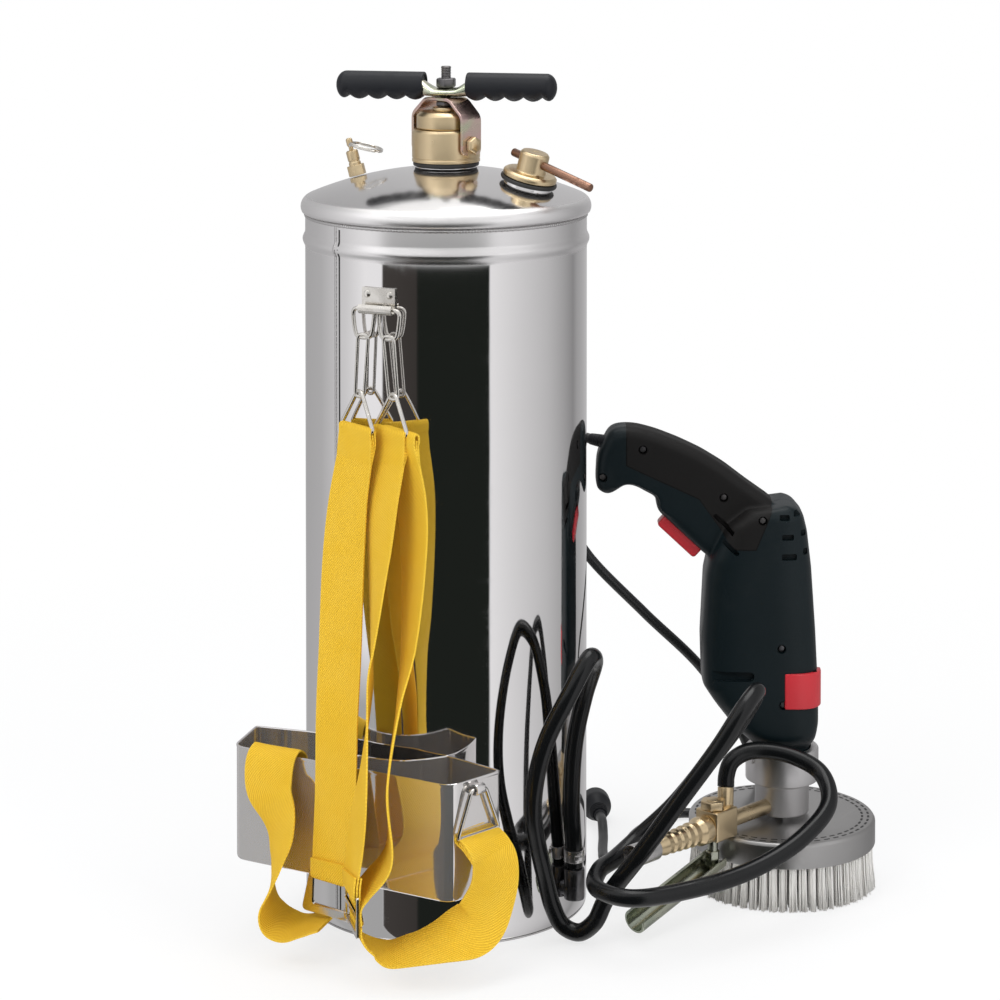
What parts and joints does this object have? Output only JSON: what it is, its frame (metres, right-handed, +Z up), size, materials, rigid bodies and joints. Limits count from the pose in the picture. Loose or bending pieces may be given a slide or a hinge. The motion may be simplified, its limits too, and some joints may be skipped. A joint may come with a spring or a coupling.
{
  "type": "backpack sprayer",
  "caption": "Steel tank backpack sprayer with a hand pump, filler cap, safety valve, strap webbing and hip tray, its hose feeding a drill-driven rotary brush.",
  "frame": {"origin": "The centre of the tank's base ring, on the floor.", "axes": "+Z runs up the tank's axis. The wearer stands at -Y, where the straps hang. +X points to the filler cap and the brush side."},
  "size_m": [0.4025, 0.4868, 0.6536],
  "materials": {
    "polished_steel": "mirror polished stainless steel, some hairlines",
    "satin_steel": "satin stainless and turned steel",
    "brass": "turned brass, lightly tarnished",
    "bronze": "copper-coloured bronze bar, lightly scratched",
    "zinc_steel": "yellow-passivated zinc plate, pink and green sheen",
    "black_steel": "blackened steel",
    "wire_steel": "bright nickel-plated wire",
    "black_rubber": "matte black rubber",
    "nitrile": "black sealing rubber",
    "hose_plastic": "glossy black hose",
    "webbing": "yellow twill webbing with white stitching",
    "housing_plastic": "dark blue-green moulded plastic, fine grain",
    "red_plastic": "red moulded plastic",
    "copper_winding": "enamelled copper and steel laminations",
    "cast_aluminium": "cast and sprayed aluminium",
    "bristle_nylon": "off-white nylon bristles"
  },
  "bodies": {
    "tank": {"tank_shell": "polished_steel", "base_pan": "satin_steel", "top_head": "polished_steel", "relief_body": "brass", "relief_spring": "wire_steel", "strap_hanger": "satin_steel", "hip_tray": "polished_steel", "strap_left": "webbing", "strap_right_front": "webbing", "strap_right_back": "webbing", "loop_left": "webbing", "loop_right": "webbing", "strap_ring": "polished_steel", "strap_adjuster": "wire_steel", "outlet_elbow": "black_steel", "hose": "hose_plastic", "power_cord": "black_rubber", "plug": "black_rubber", "strain_relief": "black_rubber", "housing_front": "housing_plastic", "housing_rear": "housing_plastic", "motor_stator": "copper_winding", "brush_collar": "cast_aluminium", "valve_block": "brass", "valve_cap": "brass", "barb_nipple": "brass", "hose_sleeve": "satin_steel"},
    "pump_gasket": {"pump_gasket": "nitrile"},
    "pump_head": {"pump_collar": "brass", "pump_pin_left": "brass", "pump_pin_right": "brass", "gland_ring": "brass", "gland_nut": "brass", "pump_barrel": "brass", "foot_valve": "brass"},
    "pump_stroke": {"pump_rod": "black_steel", "pump_piston": "black_rubber", "lock_nut": "black_steel", "top_nut": "black_steel", "handle_bar": "zinc_steel", "grip_left": "black_rubber", "grip_right": "black_rubber", "yoke": "zinc_steel"},
    "filler_gasket": {"filler_gasket": "nitrile"},
    "filler_cap": {"filler_cap": "brass"},
    "tommy_bar": {"tommy_bar": "bronze"},
    "relief_stem": {"relief_stem": "brass"},
    "pull_ring": {"pull_ring": "wire_steel"},
    "hook_chain_left": {"hook_chain_left": "wire_steel"},
    "hook_chain_right": {"hook_chain_right": "wire_steel"},
    "tray_ring_left": {"tray_ring_left": "wire_steel"},
    "tray_ring_right": {"tray_ring_right": "wire_steel"},
    "brush": {"brush_spindle": "satin_steel", "brush_cover": "cast_aluminium", "bristles": "bristle_nylon", "output_shaft": "satin_steel"},
    "motor": {"motor_armature": "copper_winding"},
    "trigger": {"trigger": "red_plastic"},
    "mode_selector": {"mode_selector": "red_plastic"},
    "tap_lever": {"tap_lever": "zinc_steel"}
  },
  "joints": [
    {"name": "pump_rise", "type": "slide", "parent": "tank", "child": "pump_gasket", "axis": [0, 0, 1], "range_m": [0, 0.00901]},
    {"name": "pump_turn", "type": "hinge", "parent": "pump_gasket", "child": "pump_head", "pos_m": [0, 0, 0.59], "axis": [0, 0, 1], "range_deg": [0, 1080]},
    {"name": "pump_stroke", "type": "slide", "parent": "pump_head", "child": "pump_stroke", "axis": [0, 0, 1], "range_m": [0, 0.25]},
    {"name": "filler_rise", "type": "slide", "parent": "tank", "child": "filler_gasket", "axis": [0.2623, 0, 0.965], "range_m": [0, 0.00126]},
    {"name": "filler_turn", "type": "hinge", "parent": "filler_gasket", "child": "filler_cap", "pos_m": [0.0733, 0, 0.56522], "axis": [0.2623, 0, 0.965], "range_deg": [0, 150]},
    {"name": "tommy_bar_slide", "type": "slide", "parent": "filler_cap", "child": "tommy_bar", "axis": [0.9363, -0.2419, -0.2545], "range_m": [-0.018, 0.009]},
    {"name": "relief_lift", "type": "slide", "parent": "tank", "child": "relief_stem", "axis": [-0.2416, -0.0785, 0.9672], "range_m": [0, 0.002], "stiffness_N_per_m": 900, "springref_m": -0.002, "deforming": ["relief_spring"]},
    {"name": "relief_ring_swing", "type": "hinge", "parent": "relief_stem", "child": "pull_ring", "pos_m": [-0.07405, -0.02406, 0.59195], "axis": [0.309, -0.9511, 0], "range_deg": [-20, 45]},
    {"name": "left_hanger_swing", "type": "hinge", "parent": "tank", "child": "hook_chain_left", "pos_m": [0.008, -0.11452, 0.4795], "axis": [-0.9976, -0.0698, 0], "range_deg": [0, 20], "deforming": ["strap_left"]},
    {"name": "right_hanger_swing", "type": "hinge", "parent": "tank", "child": "hook_chain_right", "pos_m": [0.008, -0.11452, 0.4795], "axis": [-0.9976, -0.0698, 0], "range_deg": [0, 6], "deforming": ["strap_right_front", "strap_right_back"]},
    {"name": "tray_ring_right_swing", "type": "hinge", "parent": "tank", "child": "tray_ring_right", "pos_m": [0.10581, -0.13074, 0.138], "axis": [-0.2672, -0.9636, 0], "range_deg": [0, 20], "deforming": ["loop_right"]},
    {"name": "tray_ring_left_swing", "type": "hinge", "parent": "tank", "child": "tray_ring_left", "pos_m": [-0.056, -0.1486, 0.138], "axis": [1, 0, 0], "range_deg": [0, 15], "deforming": ["loop_left"]},
    {"name": "brush_spin", "type": "hinge", "parent": "tank", "child": "brush", "pos_m": [0.2152, 0.1612, 0.05], "axis": [0, 0, 1], "continuous": true},
    {"name": "motor_spin", "type": "hinge", "parent": "tank", "child": "motor", "pos_m": [0.19416, 0.14905, 0.2], "axis": [0, 0, 1], "continuous": true},
    {"name": "trigger_pull", "type": "slide", "parent": "tank", "child": "trigger", "axis": [0.5891, 0.34, 0.7331], "range_m": [0, 0.005], "stiffness_N_per_m": 800, "springref_m": -0.002},
    {"name": "selector_slide", "type": "slide", "parent": "tank", "child": "mode_selector", "axis": [0, 0, -1], "range_m": [0, 0.005]},
    {"name": "tap_turn", "type": "hinge", "parent": "tank", "child": "tap_lever", "pos_m": [0.1944, 0.07776, 0.06], "axis": [0, 0, 1], "range_deg": [0, 90]}
  ],
  "couplings": [
    {"joint": "pump_rise", "follows": "pump_turn", "m_per_rad": 0.00047746},
    {"joint": "filler_rise", "follows": "filler_turn", "m_per_rad": 0.00047746},
    {"joint": "motor_spin", "follows": "brush_spin", "ratio": -4.7143}
  ]
}
